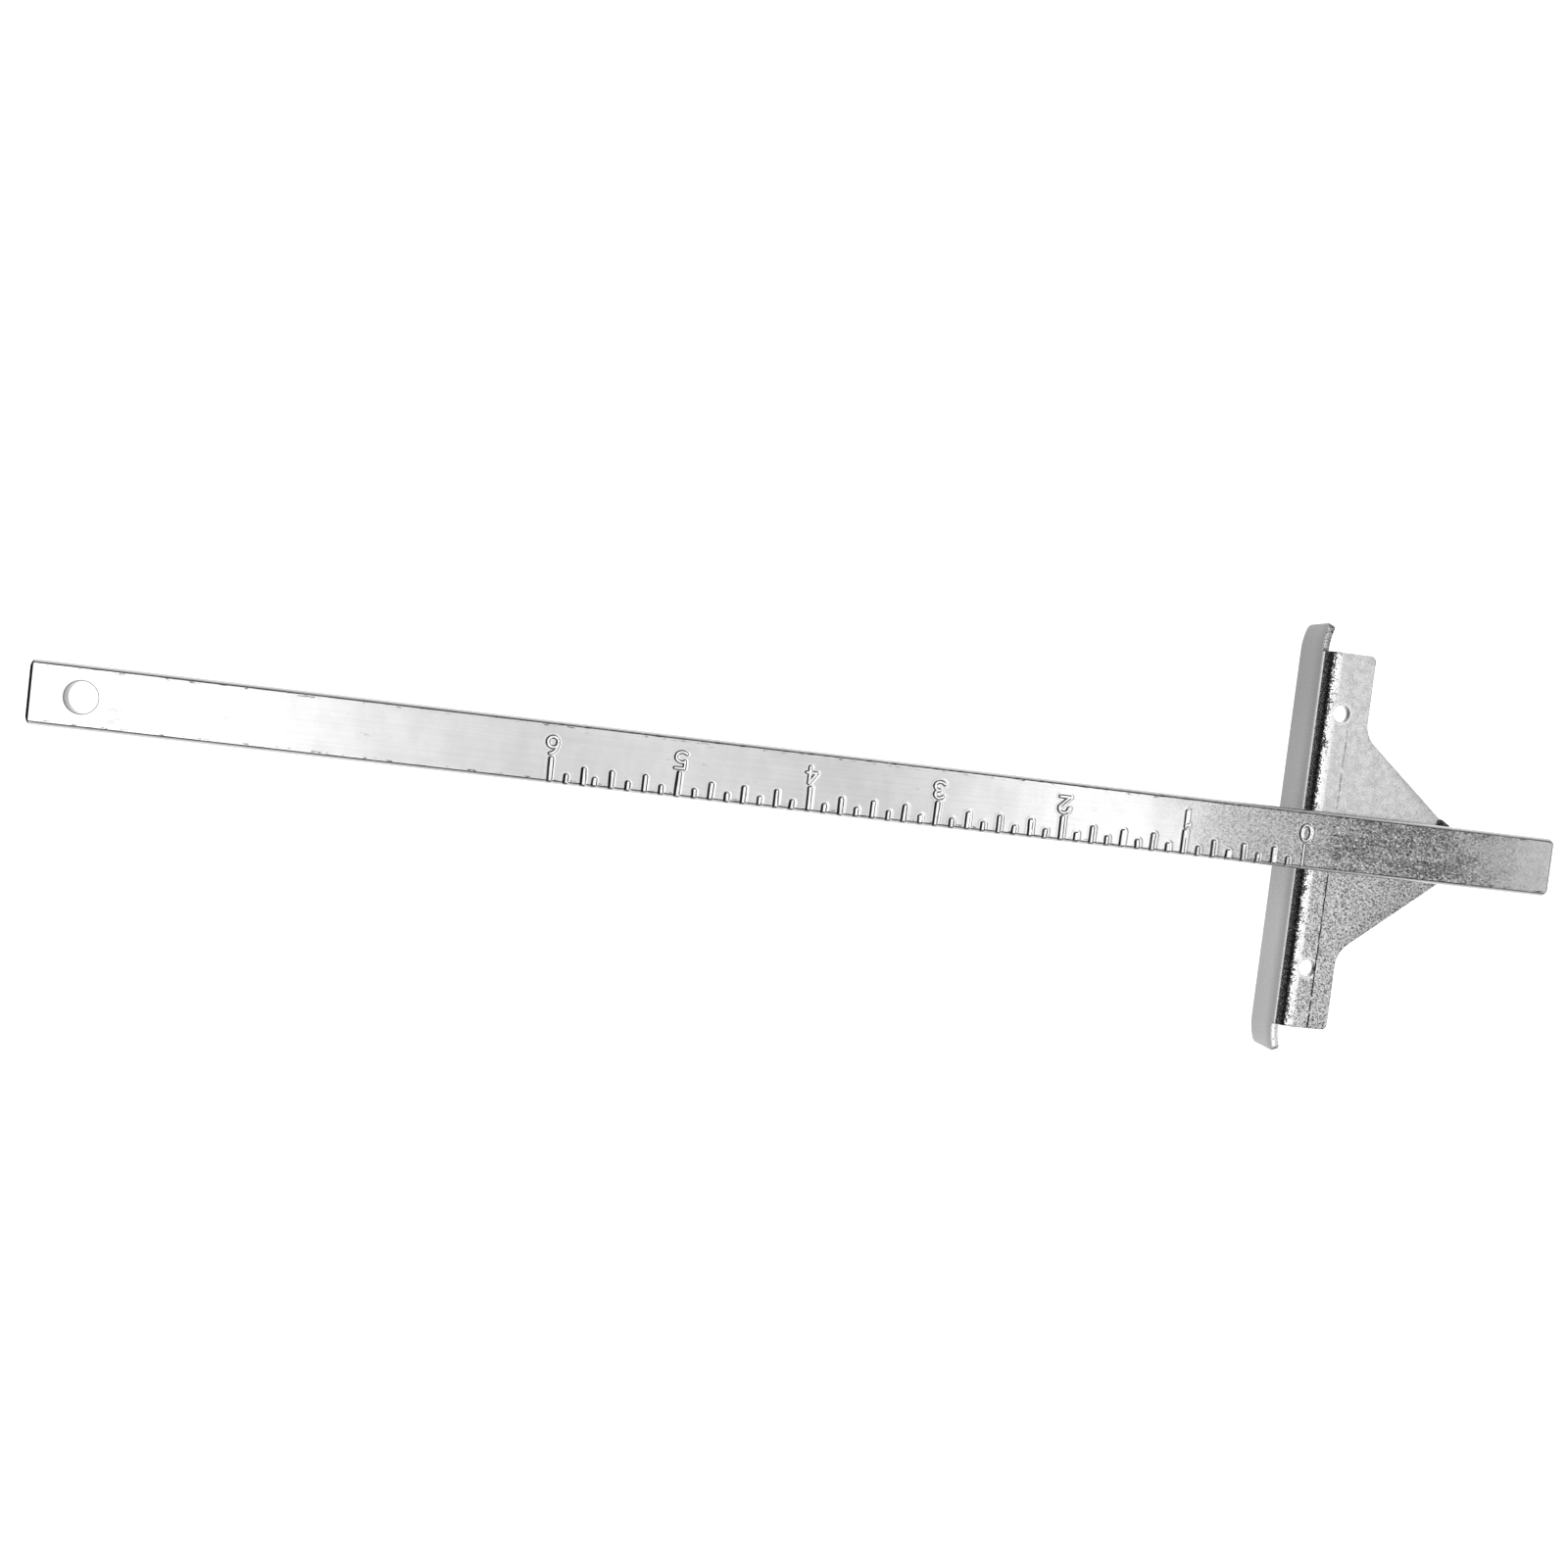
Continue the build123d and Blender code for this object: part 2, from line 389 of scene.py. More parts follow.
def hole_patch(level, sides, outward):
    """Rings from the square of bar face around the hanging hole in to its rim: (points, ring size)."""
    half = bar_flat_half
    along = np.linspace(-half, half, bottom_steps + 1)[:-1]
    across = np.linspace(-half, half, sides + 1)[:-1]
    square = [(x, -half) for x in along] + [(half, y) for y in across]
    square += [(-x, half) for x in along] + [(-half, -y) for y in across]
    square = np.array(square)
    unit = square / np.linalg.norm(square, axis=1)[:, None]
    rim_start = hang_hole_radius + hang_hole_rim
    rings = []
    for turn in np.linspace(0, math.pi / 2, 5)[:-1]:
        reach = rim_start - hang_hole_rim * math.cos(turn)
        rings.append((unit * reach, level - outward * hang_hole_rim * (1 - math.sin(turn))))
    for share in patch_shares:
        inner = unit * rim_start
        rings.append((inner + (square - inner) * share, level))
    points = [(hang_hole_x + x, y, z) for ring, z in rings for x, y in ring]
    return points, len(square)


def quarter_circle(radius, inset):
    """Height of a quarter circle at a distance from its centre."""
    return np.sqrt(np.clip(radius**2 - inset**2, 0, None))


def edge_dents(x, y):
    """Depth of the shallow dents that handling left, from the product of three waves of unlike length."""
    waves = np.sin(1.9 * x + 3 * y) * np.sin(0.63 * x) * np.sin(0.217 * x + 1)
    return dent_depth * np.clip(waves, 0, 1)


def build_bar(material):
    section = bar_section()
    stations = bar_stations()
    size = len(section)
    x = np.repeat(stations[:, None], size, 1)
    y = np.repeat(section[None, :, 0], len(stations), 0)
    z = np.repeat(section[None, :, 1], len(stations), 0)
    from_end = np.minimum(x - bar_low.x, bar_high.x - x)
    in_corner = np.clip(bar_corner_radius - from_end, 0, None)
    half_width = bar_half_width - bar_corner_radius + quarter_circle(bar_corner_radius, in_corner)
    in_edge = np.clip(bar_end_rounding - from_end, 0, None)
    pulled_in = bar_end_rounding - quarter_circle(bar_end_rounding, in_edge)
    middle = (bar_top - face_sink + bar_low.z) / 2
    half_thick = middle - bar_low.z
    height, burnish_and_highlight, wall = (part * section[None, :, 2] for part in stamped_relief(x, y))
    rounding = (np.abs(section[:, 0]) > bar_flat_half)[None, :]
    z = middle + (z - middle) * (1 - pulled_in / half_thick) + height
    z = z - edge_dents(x, y) * rounding
    y = y * half_width / bar_half_width
    vertices = np.stack((x, y, z), -1).reshape(-1, 3).tolist()

    faces = []
    hole_start, hole_end = hang_hole_x - bar_flat_half, hang_hole_x + bar_flat_half
    top_faces = set(range(top_steps))
    bottom_start = top_steps + 2 * edge_steps + 1
    bottom_faces = set(range(bottom_start, bottom_start + bottom_steps))
    over_hole = top_faces | bottom_faces
    for i in range(len(stations) - 1):
        centre = (stations[i] + stations[i + 1]) / 2
        at_hole = hole_start < centre < hole_end
        for k in range(size):
            if at_hole and k in over_hole:
                continue
            after = (k + 1) % size
            faces.append((i * size + k, i * size + after, (i + 1) * size + after, (i + 1) * size + k))
    faces.append(tuple(range(size)))
    faces.append(tuple(range((len(stations) - 1) * size, len(stations) * size)))

    rims = []
    for level, sides, outward in ((bar_top - face_sink, top_steps, 1), (bar_low.z, bottom_steps, -1)):
        points, count = hole_patch(level, sides, outward)
        base = len(vertices)
        vertices += points
        rims.append((base, count))
        for ring in range(len(points) // count - 1):
            for k in range(count):
                after = (k + 1) % count
                inner, outer = base + ring * count, base + (ring + 1) * count
                faces.append((inner + k, inner + after, outer + after, outer + k))
    faces += hole_wall(*rims)
    mesh = bpy.data.meshes.new("graduated_bar_detail")
    mesh.from_pydata(vertices, [], faces)
    for name, values in (("stamp_burnish_and_highlight", burnish_and_highlight), ("stamp_painted_wall_shade", wall)):
        shares = np.zeros(len(vertices))
        shares[: values.size] = values.ravel()
        mesh.attributes.new(name, "FLOAT", "POINT").data.foreach_set("value", shares)
    piece = finish_mesh("graduated_bar_detail", mesh, material, 55)
    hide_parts("graduated_bar")
    return piece


def hole_wall(top_rim, bottom_rim):
    """Faces of the hole's wall, between a finer top rim and a coarser bottom rim."""
    top_base, top_count = top_rim
    bottom_base, bottom_count = bottom_rim
    faces = []
    top_at = 0
    ratio = top_steps // bottom_steps
    for k in range(bottom_count):
        steps = ratio if (k // bottom_steps) % 2 else 1
        upper = [top_base + (top_at + step) % top_count for step in range(steps + 1)]
        lower = [bottom_base + (k + 1) % bottom_count, bottom_base + k]
        faces.append(tuple(upper + lower))
        top_at += steps
    return faces


# ---------------------------------------------------------------- head


def rounded(corners, steps=8):
    """Outline through the corners, each given as (u, v, radius), with its corners rounded."""
    outline = []
    count = len(corners)
    for i, (u, v, radius) in enumerate(corners):
        here = Vector((u, v))
        before = (Vector(corners[i - 1][:2]) - here).normalized()
        after = (Vector(corners[(i + 1) % count][:2]) - here).normalized()
        half_turn = before.angle(after) / 2
        reach = radius / math.tan(half_turn)
        centre = here + (before + after).normalized() * (radius / math.sin(half_turn))
        first = here + before * reach - centre
        last = here + after * reach - centre
        for step in range(steps + 1):
            outline.append(centre + first.slerp(last, step / steps, first).normalized() * radius)
    return outline


def flat_head():
    """The head's sheet laid flat as a mesh: u along the bend, v away from it, and w through the sheet."""
    flange_v = -bend_arc - face_height
    tab = curl_start + curl_radius * curl_angle
    web_v = web_depth - bend_radius
    tip_v = gusset_end - bend_radius
    side = [
        (tab, flange_v, flange_corner_radius),
        (tab, -bend_arc, flange_corner_radius),
        (web_half_length, -bend_arc, web_inner_radius),
        (web_half_length, web_v, web_corner_radius),
        (gusset_shoulder, web_v, gusset_fillet),
        (gusset_tip_flat, tip_v, gusset_tip_radius),
    ]
    corners = side + [(-u, v, radius) for u, v, radius in reversed(side)]
    curve = bpy.data.curves.new("head_blank", "CURVE")
    curve.dimensions = "2D"
    curve.fill_mode = "BOTH"
    curve.extrude = sheet / 2 - sheet_edge_radius
    curve.bevel_depth = sheet_edge_radius
    curve.bevel_resolution = 2
    curve.offset = -sheet_edge_radius
    hole_v = facing_hole_depth - bend_radius
    angles = np.linspace(0, 2 * math.pi, hole_steps + 1)[:-1]
    circle = [(facing_hole_radius * math.cos(a), facing_hole_radius * math.sin(a)) for a in angles]
    outlines = [rounded(corners)]
    for hole_u in (-facing_hole_half_spacing, facing_hole_half_spacing):
        outlines.append([(hole_u + u, hole_v + v) for u, v in circle])
    for outline in outlines:
        spline = curve.splines.new("POLY")
        spline.points.add(len(outline) - 1)
        for point, (u, v) in zip(spline.points, outline):
            point.co = (u, v, 0, 1)
        spline.use_cyclic_u = True
    blank = bpy.data.objects.new("head_blank", curve)
    bpy.context.scene.collection.objects.link(blank)
    bpy.context.view_layer.update()
    mesh = bpy.data.meshes.new_from_object(blank.evaluated_get(bpy.context.evaluated_depsgraph_get()))
    bpy.data.objects.remove(blank)
    return mesh


def cut_across(work, axis, place):
    """Cut every face of the flat sheet along one straight line, so that it can bend there."""
    point = [0, 0, 0]
    normal = [0, 0, 0]
    point[axis] = place
    normal[axis] = 1
    geometry = work.verts[:] + work.edges[:] + work.faces[:]
    bmesh.ops.bisect_plane(work, geom=geometry, dist=cut_tolerance, plane_co=point, plane_no=normal)


def bent_place(u, v, depth):
    """Where a point of the flat sheet stands after bending, with its depth below the outer face."""
    if v >= 0:
        x, z = -bend_radius - v, web_top - depth
    elif v > -bend_arc:
        turn = -v / bend_radius
        radius = bend_radius - depth
        x = -bend_radius + radius * math.sin(turn)
        z = web_top - bend_radius + radius * math.cos(turn)
    else:
        x, z = -depth, web_top - bend_radius + (v + bend_arc)
    if v > -bend_arc + curl_relief or abs(u) <= curl_start:
        return x, u, z
    turn = (abs(u) - curl_start) / curl_radius
    radius = curl_radius + x
    return -curl_radius + radius * math.cos(turn), math.copysign(curl_start + radius * math.sin(turn), u), z


def build_head(material):
    work = bmesh.new()
    work.from_mesh(flat_head())
    bmesh.ops.remove_doubles(work, verts=work.verts, dist=merge_distance)
    score_v = score_depth_from_face - bend_radius
    for place in np.linspace(-bend_arc, 0, bend_steps + 1):
        cut_across(work, 1, place)
    for offset in (-score_width, 0, score_width):
        cut_across(work, 1, score_v + offset)
    curl_end = curl_start + curl_radius * curl_angle
    for place in np.linspace(curl_start, curl_end, curl_steps + 1)[:-1]:
        cut_across(work, 0, place)
        cut_across(work, 0, -place)
    for place in np.arange(cross_cut_start, cross_cut_end, plain_step):
        cut_across(work, 0, place)
    for vertex in work.verts:
        u, v, w = vertex.co
        depth = sheet / 2 - w
        if abs(v - score_v) < 0.01 and depth < 0.01:
            # the brake mark is deep on the graduated side and faint on the other
            waver = 0.5 + 0.5 * math.sin(1.7 * u) * math.sin(0.6 * u + 1)
            deep = smooth(strong_score_start, strong_score_start + 2, u) * (0.75 + 0.25 * waver)
            faint_start = smooth(faint_score_start, faint_score_start + 2, u)
            faint_end = smooth(faint_score_end - 1, faint_score_end, u)
            faint = faint_start * (1 - faint_end) * faint_score_share * waver
            depth += score_cut * float(deep + faint)
            v += score_wander * math.sin(0.9 * u)
        vertex.co = bent_place(u, v, depth)
    mesh = bpy.data.meshes.new("fence_head_detail")
    work.to_mesh(mesh)
    work.free()
    piece = finish_mesh("fence_head_detail", mesh, material, 16)
    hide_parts("fence_head")
    return piece


# ---------------------------------------------------------------- weld


def build_bead(material):
    """The tack weld: a lumpy quarter dome in the corner between the gusset and the bar."""
    low, high = (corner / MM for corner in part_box("gusset_tack_weld"))
    work = bmesh.new()
    bmesh.ops.create_icosphere(work, subdivisions=5, radius=1)
    corner = Vector((gusset_slope * bar_half_width - gusset_tip, -bar_half_width, web_top))
    for vertex in work.verts:
        lumps = bead_lump * abs(noise.noise(vertex.co * bead_lump_scale))
        grain = bead_grain * abs(noise.noise(vertex.co * bead_grain_scale))
        spread = vertex.co * (1 - lumps - grain)
        vertex.co = corner + Vector((spread.x * bead_reach, spread.y * bead_reach, spread.z * bead_height))
    # keep the part inside the gusset's edge, outside the bar and above the web
    for point, normal in (
        (corner, Vector((-1, -gusset_slope, 0)).normalized()),
        (corner, Vector((0, 1, 0))),
        (corner, Vector((0, 0, -1))),
        (high, Vector((1, 0, 0))),
        (low, Vector((0, -1, 0))),
    ):
        geometry = work.verts[:] + work.edges[:] + work.faces[:]
        cut = bmesh.ops.bisect_plane(
            work, geom=geometry, dist=cut_tolerance, plane_co=point, plane_no=normal, clear_outer=True
        )
        rim = [item for item in cut["geom_cut"] if isinstance(item, bmesh.types.BMEdge)]
        if rim:
            bmesh.ops.contextual_create(work, geom=rim)
    mesh = bpy.data.meshes.new("gusset_tack_weld_bead")
    work.to_mesh(mesh)
    work.free()
    piece = finish_mesh("gusset_tack_weld_bead", mesh, material, 50)
    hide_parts("gusset_tack_weld")
    return piece


# ---------------------------------------------------------------- materials


class Shader:
    """Short names for building a material's nodes."""

    def __init__(self, name):
        self.material = bpy.data.materials.new(name)
        self.material.use_nodes = True
        self.tree = self.material.node_tree
        self.surface = self.tree.nodes["Principled BSDF"]
        coordinates = self.tree.nodes.new("ShaderNodeTexCoord").outputs["Object"]
        self.place = self.mapped(coordinates, 1 / MM)
        self.x, self.y, self.z = self.split(self.place)

    def link(self, source, target):
        if isinstance(source, (int, float, tuple)):
            target.default_value = source
        else:
            self.tree.links.new(source, target)

    def mapped(self, vector, scale):
        node = self.tree.nodes.new("ShaderNodeVectorMath")
        node.operation = "MULTIPLY"
        self.link(vector, node.inputs[0])
        node.inputs[1].default_value = (scale,) * 3 if isinstance(scale, (int, float)) else scale
        return node.outputs[0]

    def split(self, vector):
        node = self.tree.nodes.new("ShaderNodeSeparateXYZ")
        self.link(vector, node.inputs[0])
        return node.outputs

    def noise(self, scale, detail=2.0, stretch=None, roughness=0.5, distortion=0.0):
        node = self.tree.nodes.new("ShaderNodeTexNoise")
        self.link(self.mapped(self.place, stretch) if stretch else self.place, node.inputs["Vector"])
        node.inputs["Scale"].default_value = scale
        node.inputs["Detail"].default_value = detail
        node.inputs["Roughness"].default_value = roughness
        node.inputs["Distortion"].default_value = distortion
        return node.outputs["Fac"]

    def math(self, operation, first, second=0.0):
        node = self.tree.nodes.new("ShaderNodeMath")
        node.operation = operation
        self.link(first, node.inputs[0])
        self.link(second, node.inputs[1])
        return node.outputs[0]

    def ramp(self, value, low, high, start=0.0, end=1.0):
        """Smooth step of value between low and high, from start to end."""
        node = self.tree.nodes.new("ShaderNodeMapRange")
        node.interpolation_type = "SMOOTHSTEP"
        self.link(value, node.inputs["Value"])
        node.inputs["From Min"].default_value = low
        node.inputs["From Max"].default_value = high
        node.inputs["To Min"].default_value = start
        node.inputs["To Max"].default_value = end
        return node.outputs["Result"]

    def share(self, name):
        """A value stored on the mesh's points."""
        node = self.tree.nodes.new("ShaderNodeAttribute")
        node.attribute_name = name
        return node.outputs["Fac"]

    def product(self, *values):
        result = values[0]
        for value in values[1:]:
            result = self.math("MULTIPLY", result, value)
        return result

    def sum(self, *values):
        result = values[0]
        for value in values[1:]:
            result = self.math("ADD", result, value)
        return result

    def mix(self, share, first, second):
        """Mix two colours, each a node's output, three numbers, or one number for a grey."""
        node = self.tree.nodes.new("ShaderNodeMix")
        node.data_type = "RGBA"
        self.link(share, node.inputs["Factor"])
        for name, colour in (("A", first), ("B", second)):
            if isinstance(colour, float):
                colour = (colour, colour, colour)
            self.link((*colour, 1.0) if isinstance(colour, tuple) else colour, node.inputs[name])
        return node.outputs["Result"]

    def distance(self, x, y):
        """Distance in plan from a point."""
        dx, dy = self.sum(self.x, -x), self.sum(self.y, -y)
        return self.math("SQRT", self.sum(self.product(dx, dx), self.product(dy, dy)))

    def bump(self, height, depth, before=None):
        """Raise the surface by height times depth, in millimetres."""
        node = self.tree.nodes.new("ShaderNodeBump")
        node.inputs["Strength"].default_value = 1.0
        node.inputs["Distance"].default_value = depth * MM
        self.link(height, node.inputs["Height"])
        if before is not None:
            self.link(before, node.inputs["Normal"])
        return node.outputs["Normal"]


def bar_zinc():
    """Bright zinc over drawn bar: long faint drawing lines, a fine grain that coarsens to the head."""
    m = Shader("bar_bright_zinc")
    near_head = m.ramp(m.sum(m.x, m.product(m.noise(0.12, 3), 30.0)), *coarse_towards_head)
    grain = m.noise(3.0, 5, stretch=(0.8, 1.0, 1.0), roughness=0.72, distortion=0.4)
    fine = m.noise(6.5, 3, roughness=0.7)
    lines = m.noise(1.0, 4, stretch=(0.03, 2.2, 1.0))
    waves = m.noise(0.16, 2, stretch=(0.6, 1.0, 1.0))
    speckle = m.ramp(grain, 0.485, 0.445)
    bright = m.ramp(grain, 0.58, 0.63)
    patchy = m.sum(m.x, m.product(m.sum(m.noise(0.2, 3), -0.5), 24.0))
    dull = m.product(near_head, m.ramp(patchy, *dull_over_head, 0.3, 1.0))
    over_head = m.product(m.ramp(patchy, *head_grain_start), m.ramp(patchy, *head_grain_end))
    coarse = m.sum(m.product(dull, 0.6), m.product(over_head, 0.4))
    colour = m.mix(m.ramp(lines, 0.35, 0.7, 0.0, 0.35), 0.74, (0.64, 0.64, 0.645))
    cloud = m.ramp(m.noise(0.22, 3, stretch=(1.0, 0.6, 1.0)), 0.35, 0.65)
    streak = m.ramp(m.noise(0.3, 4, stretch=(0.35, 1.6, 1.0), roughness=0.65), 0.42, 0.6)
    shade = m.sum(m.product(dull, 0.3), m.product(over_head, m.sum(m.product(streak, 0.4), 0.1)))
    colour = m.mix(m.product(cloud, 0.25), colour, 0.55)
    colour = m.mix(shade, colour, 0.25)
    colour = m.mix(m.product(coarse, speckle), colour, (0.03, 0.03, 0.035))
    colour = m.mix(m.product(coarse, bright), colour, 0.97)
    from_middle = m.math("ABSOLUTE", m.y)
    rim = m.product(m.ramp(from_middle, *fleck_inner), m.ramp(from_middle, *fleck_outer))
    fleck = m.product(rim, m.ramp(m.noise(0.9, 4, stretch=(0.45, 1.5, 1.0), roughness=0.7), 0.56, 0.62))
    colour = m.mix(m.product(fleck, 0.85), colour, 0.05)
    smudge = m.ramp(m.noise(0.35, 5, stretch=(0.5, 1.4, 1.0), roughness=0.75), 0.61, 0.72)
    colour = m.mix(m.product(smudge, 0.4), colour, (0.30, 0.30, 0.31))
    # painted shade along the outer rounding of the long edges, and the unpolished end
    colour = m.mix(m.ramp(from_middle, *painted_edge_shade), colour, 0.5)
    colour = m.mix(m.ramp(m.x, *raw_end), colour, 0.01)
    # hanging hole: painted shade greying its wall, a painted dark shade ring on its rounded rim, and a
    # smudge beside it
    from_hole = m.distance(hang_hole_x, 0.0)
    hole_wall_shade = m.product(m.ramp(from_hole, *hole_wall_radius), m.ramp(m.z, *hole_wall_top))
    ring = m.product(m.ramp(from_hole, *hole_rim_shade_inner), m.ramp(from_hole, *hole_rim_shade_outer), 0.75)
    from_smudge = m.distance(*smudge_place)
    smear = m.ramp(m.noise(0.9, 4, stretch=(0.6, 1.8, 1.0), roughness=0.65), 0.42, 0.58)
    beside = m.product(m.ramp(from_smudge, *smudge_reach), smear, 0.6)
    colour = m.mix(beside, colour, 0.38)
    colour = m.mix(hole_wall_shade, colour, 0.42)
    colour = m.mix(ring, colour, 0.05)
    # the stamping's floors and lips are brightened, partly burnished metal and partly painted highlight,
    # and the broad walls get painted shade
    colour = m.mix(m.product(m.ramp(m.share("stamp_burnish_and_highlight"), 0.2, 0.9), 0.8), colour, 0.97)
    colour = m.mix(m.ramp(m.share("stamp_painted_wall_shade"), 0.1, 0.7), colour, 0.03)
    m.link(colour, m.surface.inputs["Base Color"])
    m.surface.inputs["Metallic"].default_value = 1.0
    m.link(m.sum(m.ramp(grain, 0.3, 0.7, 0.12, 0.2), m.product(dull, 0.04)), m.surface.inputs["Roughness"])
    normal = m.bump(waves, 0.05)
    normal = m.bump(lines, 0.004, normal)
    normal = m.bump(m.product(grain, m.sum(m.product(dull, 0.85), 0.15)), 0.03, normal)
    normal = m.bump(fine, 0.0012, normal)
    m.link(normal, m.surface.inputs["Normal"])
    return m.material


def head_zinc():
    """Zinc over mill-finish sheet: orange peel on the web, painted shade on the flange, painted dark and
    white bands on the bend.
    """
    m = Shader("head_bright_zinc")
    grain = m.noise(3.2, 5, roughness=0.72, distortion=0.3)
    fine = m.noise(6.0, 3, roughness=0.7)
    peel = m.noise(0.8, 3)
    side = m.math("ABSOLUTE", m.y)
    lower_half = m.ramp(m.y, *darker_side)
    on_web = m.ramp(m.x, *web_side_of_bend)
    speckle = m.ramp(grain, 0.485, 0.445)
    bright = m.ramp(grain, 0.54, 0.58)
    colour = m.mix(m.ramp(peel, 0.35, 0.65, 0.0, 0.5), 0.84, 0.56)
    colour = m.mix(m.product(lower_half, 0.5), colour, 0.5)
    coarse = m.product(on_web, m.sum(m.product(lower_half, 0.75), 0.15))
    colour = m.mix(m.product(speckle, coarse), colour, (0.05, 0.05, 0.055))
    colour = m.mix(m.product(bright, m.sum(coarse, m.product(on_web, 0.15))), colour, (0.95, 0.95, 0.96))
    # working face: satin grey finish darkened with painted shade standing for the shadowed table it
    # reflects, and more painted shade up to the bend
    satin_and_painted_shade = m.mix(m.ramp(m.y, *satin_shade_slope), 0.22, 0.30)
    colour = m.mix(m.ramp(m.z, *satin_shade_top), colour, satin_and_painted_shade)
    shaded = m.product(m.ramp(m.z, *shade_towards_bend), m.ramp(m.z, *shade_end), 0.55)
    colour = m.mix(shaded, colour, (0.12, 0.12, 0.125))
    # painted dark reflection band on the outside of the bend, with a ragged edge towards the web and
    # painted glints in it
    ragged = m.sum(m.z, m.product(m.sum(grain, -0.5), 2.6), m.product(m.sum(peel, -0.5), 1.0))
    painted_dark_band = m.product(m.ramp(m.z, *dark_band_low), m.ramp(ragged, *dark_band_high), m.ramp(m.x, *dark_band_inboard))
    colour = m.mix(painted_dark_band, colour, 0.02)
    glint = m.product(painted_dark_band, m.ramp(fine, 0.58, 0.64), 0.6)
    colour = m.mix(glint, colour, 0.8)
    # painted highlight: a thin broken glint line where the flange face turns into the bend
    painted_glint_line = m.product(m.ramp(m.z, *glint_line_low), m.ramp(m.z, *glint_line_high))
    painted_glint_line = m.product(painted_glint_line, m.ramp(fine, 0.42, 0.55), 0.8)
    colour = m.mix(painted_glint_line, colour, (0.75, 0.75, 0.76))
    # painted highlight: a bright white band over the bend towards the web, dimmer near the web's ends
    edge_run = m.sum(m.x, m.product(m.sum(grain, -0.5), 1.6), m.product(m.sum(peel, -0.5), 0.8))
    painted_white_band = m.product(m.ramp(ragged, *white_band_low), m.ramp(edge_run, *white_band_inboard))
    inboard = m.ramp(side, *web_end_inboard)
    colour = m.mix(painted_white_band, colour, m.mix(inboard, 0.45, 0.9))
    # painted highlight rings round the facing holes, and painted shade on their walls on the side away from
    # the bend
    for hole_y in (-facing_hole_half_spacing, facing_hole_half_spacing):
        away = m.distance(-facing_hole_depth, hole_y)
        colour = m.mix(m.product(m.ramp(away, *painted_hole_highlight), on_web, 0.85), colour, (0.9, 0.9, 0.91))
        shaded = m.product(m.ramp(away, *punched_shade), m.ramp(m.x, *punched_shade_side), 0.7)
        colour = m.mix(shaded, colour, 0.2)
    # scribed brake mark
    wander = m.sum(m.x, m.product(m.sum(m.noise(0.35, 3), -0.5), 0.5), score_depth_from_face)
    line = m.product(m.ramp(m.math("ABSOLUTE", wander), *score_line), m.ramp(m.noise(0.8, 3), 0.38, 0.46))
    strong = m.product(line, m.ramp(m.y, strong_score_start, strong_score_start + 1))
    faint_start = m.ramp(m.y, faint_score_start, faint_score_start + 2)
    faint = m.product(line, faint_start, m.ramp(m.y, faint_score_end, faint_score_end - 1), 0.45)
    colour = m.mix(m.math("MAXIMUM", strong, faint), colour, 0.03)
    # sheared upper faces of the tabs
    sheared = m.product(m.ramp(side, *web_end_outboard), m.ramp(m.z, *sheared_height))
    pits = m.ramp(m.noise(1.1, 2), 0.62, 0.66)
    mottle = m.mix(m.ramp(grain, 0.42, 0.56), 0.2, 0.62)
    bare = m.mix(m.ramp(m.y, *bare_side), mottle, 0.9)
    colour = m.mix(sheared, colour, m.mix(pits, bare, 0.08))
    m.link(colour, m.surface.inputs["Base Color"])
    m.surface.inputs["Metallic"].default_value = 1.0
    m.link(m.ramp(grain, 0.3, 0.7, 0.2, 0.34), m.surface.inputs["Roughness"])
    normal = m.bump(peel, 0.02)
    normal = m.bump(m.product(grain, m.sum(on_web, 0.04)), 0.04, normal)
    normal = m.bump(m.product(fine, m.sum(on_web, 0.1)), 0.003, normal)
    m.link(normal, m.surface.inputs["Normal"])
    return m.material


def weld_metal():
    """Scaled weld bead: dark, lumpy, with a few bare glints."""
    m = Shader("weld_scale")
    lumps = m.noise(1.6, 4, roughness=0.7)
    colour = m.mix(m.ramp(lumps, 0.45, 0.62), (0.025, 0.025, 0.026), (0.16, 0.16, 0.165))
    m.link(colour, m.surface.inputs["Base Color"])
    m.surface.inputs["Metallic"].default_value = 0.8
    m.link(m.ramp(lumps, 0.3, 0.7, 0.65, 0.4), m.surface.inputs["Roughness"])
    m.link(m.bump(lumps, 0.12), m.surface.inputs["Normal"])
    return m.material


# ---------------------------------------------------------------- studio

# Table, room and light panel, in metres and shares of brightness
floor_size = 12.0
floor_centre = 0.1
floor_glow = 0.8
floor_tones = (0.86, 0.9)
box_height = 1.0
box_length = 2.0
box_width = 1.8
box_glow = 1.9
box_slant = 0.15

# Pale walls and the unlit room over them, which begin at these rises of a direction of unit length
wall_glow = 0.85
wall_end = 0.2
room_glow = 0.06
room_start = 0.42

# Gap under the flange and the camera, in millimetres, and the camera's turn in degrees
table_gap = 0.02
camera_lens = 35.82
camera_sensor = 36
camera_near = 10
camera_above_bar = 297.8
camera_along = 147.7
camera_across = -11.2
camera_turn = (-3.216, -7.272, -173.033)


def plane(name, centre, size_x, size_y, material):
    x, y = size_x / 2, size_y / 2
    mesh = bpy.data.meshes.new(name)
    mesh.from_pydata([(-x, -y, 0), (x, -y, 0), (x, y, 0), (-x, y, 0)], [], [(0, 1, 2, 3)])
    mesh.materials.append(material)
    card = bpy.data.objects.new(name, mesh)
    card.location = centre
    bpy.context.scene.collection.objects.link(card)
    return card


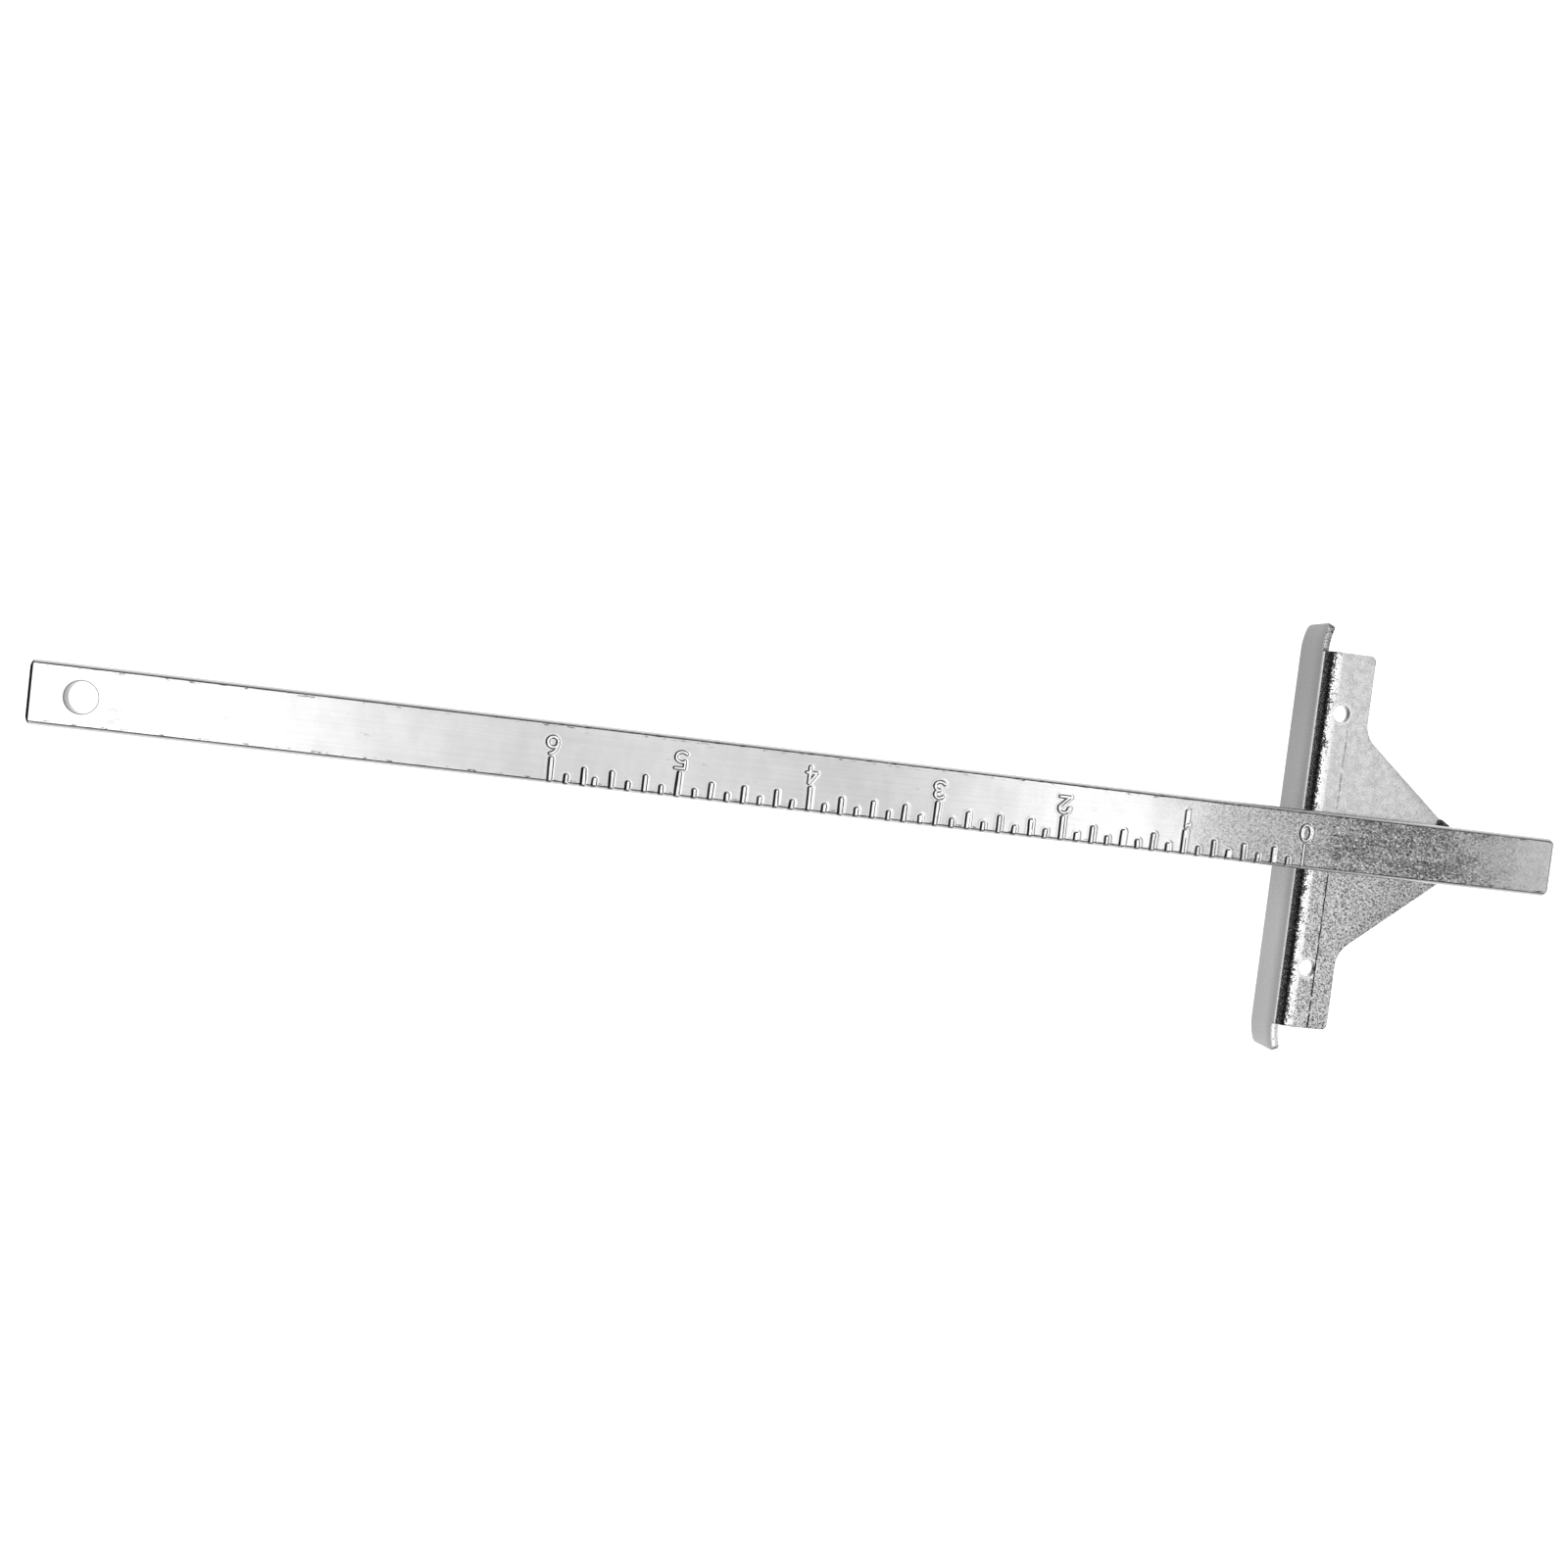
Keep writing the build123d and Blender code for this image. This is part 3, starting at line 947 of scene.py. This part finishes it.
def floor_material():
    m = Shader("white_table")
    tone = m.ramp(m.noise(0.004, 3), 0.3, 0.7, *floor_tones)
    shade = m.tree.nodes.new("ShaderNodeCombineColor")
    for channel in shade.inputs:
        m.link(tone, channel)
    m.link(shade.outputs[0], m.surface.inputs["Base Color"])
    m.surface.inputs["Roughness"].default_value = 0.9
    m.link((1.0, 1.0, 1.0, 1.0), m.surface.inputs["Emission Color"])
    m.surface.inputs["Emission Strength"].default_value = floor_glow
    return m.material


def soft_box_material():
    """Light panel over the table: bright, with a dimmer middle and a dark gap beyond the head."""
    material = bpy.data.materials.new("soft_box")
    material.use_nodes = True
    tree = material.node_tree
    tree.nodes.clear()
    place = tree.nodes.new("ShaderNodeTexCoord").outputs["Object"]
    split = tree.nodes.new("ShaderNodeSeparateXYZ")
    tree.links.new(place, split.inputs[0])
    lean = tree.nodes.new("ShaderNodeMath")
    lean.operation = "MULTIPLY_ADD"
    tree.links.new(split.outputs["Y"], lean.inputs[0])
    lean.inputs[1].default_value = box_slant
    tree.links.new(split.outputs["X"], lean.inputs[2])
    span = tree.nodes.new("ShaderNodeMapRange")
    tree.links.new(lean.outputs[0], span.inputs["Value"])
    span.inputs["From Min"].default_value = -box_length / 2
    span.inputs["From Max"].default_value = box_length / 2
    ramp = tree.nodes.new("ShaderNodeValToRGB")
    tree.links.new(span.outputs["Result"], ramp.inputs["Fac"])
    # brightness along the panel, each as (place in metres, share)
    beyond_head = [(-1.0, 0.5), (-0.69, 0.62), (-0.645, 0.12), (-0.487, 0.12), (-0.414, 0.72)]
    over_bar = [(-0.3, 0.86), (-0.24, 0.76), (-0.18, 0.54), (-0.09, 0.42), (0.07, 0.57), (0.18, 0.45)]
    past_end = [(0.27, 0.55), (0.36, 0.68), (0.45, 0.95), (0.85, 1.0)]
    stops = beyond_head + over_bar + past_end
    elements = ramp.color_ramp.elements
    while len(elements) > 1:
        elements.remove(elements[-1])
    elements[0].position = 0
    for x, level in stops:
        position = (x + box_length / 2) / box_length
        stop = elements.new(position) if position > 0 else elements[0]
        stop.color = (level, level, level, 1)
    glow = tree.nodes.new("ShaderNodeEmission")
    tree.links.new(ramp.outputs["Color"], glow.inputs["Color"])
    glow.inputs["Strength"].default_value = box_glow
    out = tree.nodes.new("ShaderNodeOutputMaterial")
    tree.links.new(glow.outputs[0], out.inputs["Surface"])
    return material


def studio_world():
    """Pale walls up to a little above the horizon, and an unlit room over them."""
    world = bpy.data.worlds.new("studio")
    world.use_nodes = True
    tree = world.node_tree
    direction = tree.nodes.new("ShaderNodeTexCoord").outputs["Generated"]
    split = tree.nodes.new("ShaderNodeSeparateXYZ")
    tree.links.new(direction, split.inputs[0])
    wall = tree.nodes.new("ShaderNodeMapRange")
    wall.interpolation_type = "SMOOTHSTEP"
    tree.links.new(split.outputs["Z"], wall.inputs["Value"])
    limits = {"From Min": wall_end, "From Max": room_start, "To Min": wall_glow, "To Max": room_glow}
    for name, value in limits.items():
        wall.inputs[name].default_value = value
    tree.links.new(wall.outputs["Result"], tree.nodes["Background"].inputs["Strength"])
    tree.nodes["Background"].inputs["Color"].default_value = (1, 1, 1, 1)
    return world


def build_studio():
    table_top = (head_low.z - table_gap) * MM
    plane("table", (floor_centre, 0, table_top), floor_size, floor_size, floor_material())
    plane("soft_box", (0, 0, box_height), box_length, box_width, soft_box_material())
    bpy.context.scene.world = studio_world()
    lens = bpy.data.cameras.new("camera")
    lens.lens = camera_lens
    lens.sensor_width = camera_sensor
    lens.clip_start = camera_near * MM
    camera = bpy.data.objects.new("camera", lens)
    camera.location = (camera_along * MM, camera_across * MM, (bar_top + camera_above_bar) * MM)
    camera.rotation_euler = [math.radians(angle) for angle in camera_turn]
    bpy.context.scene.collection.objects.link(camera)
    bpy.context.scene.camera = camera
    bpy.context.scene.view_settings.view_transform = "Standard"


build_bar(bar_zinc())
build_head(head_zinc())
weld = weld_metal()
build_bead(weld)
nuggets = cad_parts["weld_nuggets"].data
nuggets.materials.clear()
nuggets.materials.append(weld)
build_studio()
